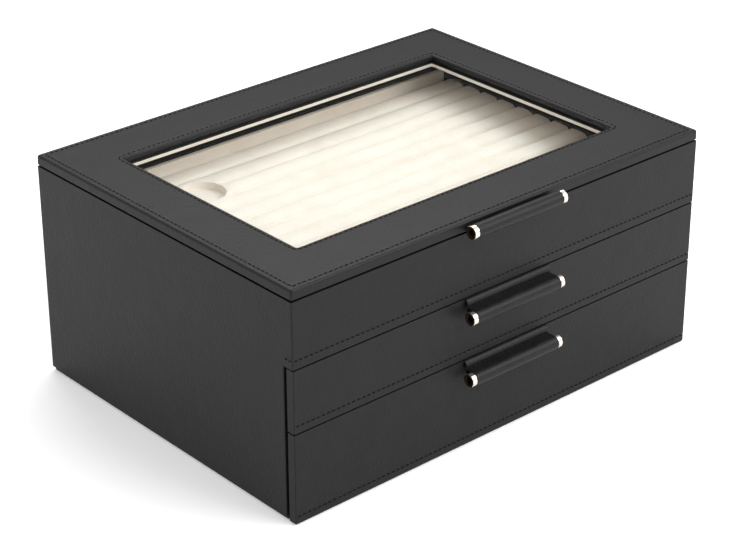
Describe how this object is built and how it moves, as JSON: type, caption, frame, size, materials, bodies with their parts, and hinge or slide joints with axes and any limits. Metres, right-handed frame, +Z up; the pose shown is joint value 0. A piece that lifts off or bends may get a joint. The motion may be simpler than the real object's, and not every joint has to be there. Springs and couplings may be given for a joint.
{
  "type": "ring display box",
  "caption": "Leather-covered ring display box with a hinged glass lid over a velvet ring tray, and drawers with strap pulls below it.",
  "frame": {"origin": "middle of the underside, on the surface that the box stands on", "axes": "+X to the right along the front, +Y from the front to the back, +Z up"},
  "size_m": [0.29, 0.2288, 0.1326],
  "materials": {
    "black_leather": "satin, fine-grained coated leather with tone-on-tone stitching",
    "cream_velvet": "short matt pile",
    "glass": "clear polished",
    "nickel": "polished plate",
    "board": "fibreboard lined with black paper",
    "felt": "matt felt"
  },
  "bodies": {
    "case": {"base_felt": "felt", "base_board": "board", "left_board": "board", "right_board": "board", "back_board": "board", "fascia_board": "board", "case_leather": "black_leather", "tray_shelf": "board", "drawer_shelf": "board", "tray_stop": "board", "ring_tray": "cream_velvet", "tray_ring_pad": "cream_velvet", "case_hinge_leaves": "nickel", "hinge_pins": "nickel", "case_hinge_screws": "nickel"},
    "lid": {"lid_front_rail": "board", "lid_back_rail": "board", "lid_left_rail": "board", "lid_right_rail": "board", "lid_leather": "black_leather", "glass_pane": "glass", "lid_lining": "cream_velvet", "lid_hinge_leaves": "nickel", "lid_hinge_screws": "nickel", "lid_pull_strap": "black_leather", "lid_pull_tube": "nickel"},
    "ring_drawer": {"ring_drawer_front_board": "board", "ring_drawer_front_leather": "black_leather", "ring_drawer_box_front": "board", "ring_drawer_sides": "board", "ring_drawer_back": "board", "ring_drawer_bottom": "board", "ring_drawer_lining": "cream_velvet", "ring_drawer_pad": "cream_velvet", "ring_drawer_pull_strap": "black_leather", "ring_drawer_pull_tube": "nickel"},
    "deep_drawer": {"deep_drawer_front_board": "board", "deep_drawer_front_leather": "black_leather", "deep_drawer_box_front": "board", "deep_drawer_sides": "board", "deep_drawer_back": "board", "deep_drawer_bottom": "board", "deep_drawer_lining": "cream_velvet", "deep_drawer_long_divider": "cream_velvet", "deep_drawer_cross_dividers": "cream_velvet", "deep_drawer_pull_strap": "black_leather", "deep_drawer_pull_tube": "nickel"}
  },
  "joints": [
    {"name": "lid_hinge", "type": "hinge", "parent": "case", "child": "lid", "pos_m": [0, 0.1094, 0.126], "axis": [-1, 0, 0], "range_deg": [0, 100]},
    {"name": "ring_drawer_slide", "type": "slide", "parent": "case", "child": "ring_drawer", "axis": [0, -1, 0], "range_m": [0, 0.14]},
    {"name": "deep_drawer_slide", "type": "slide", "parent": "case", "child": "deep_drawer", "axis": [0, -1, 0], "range_m": [0, 0.14]}
  ]
}
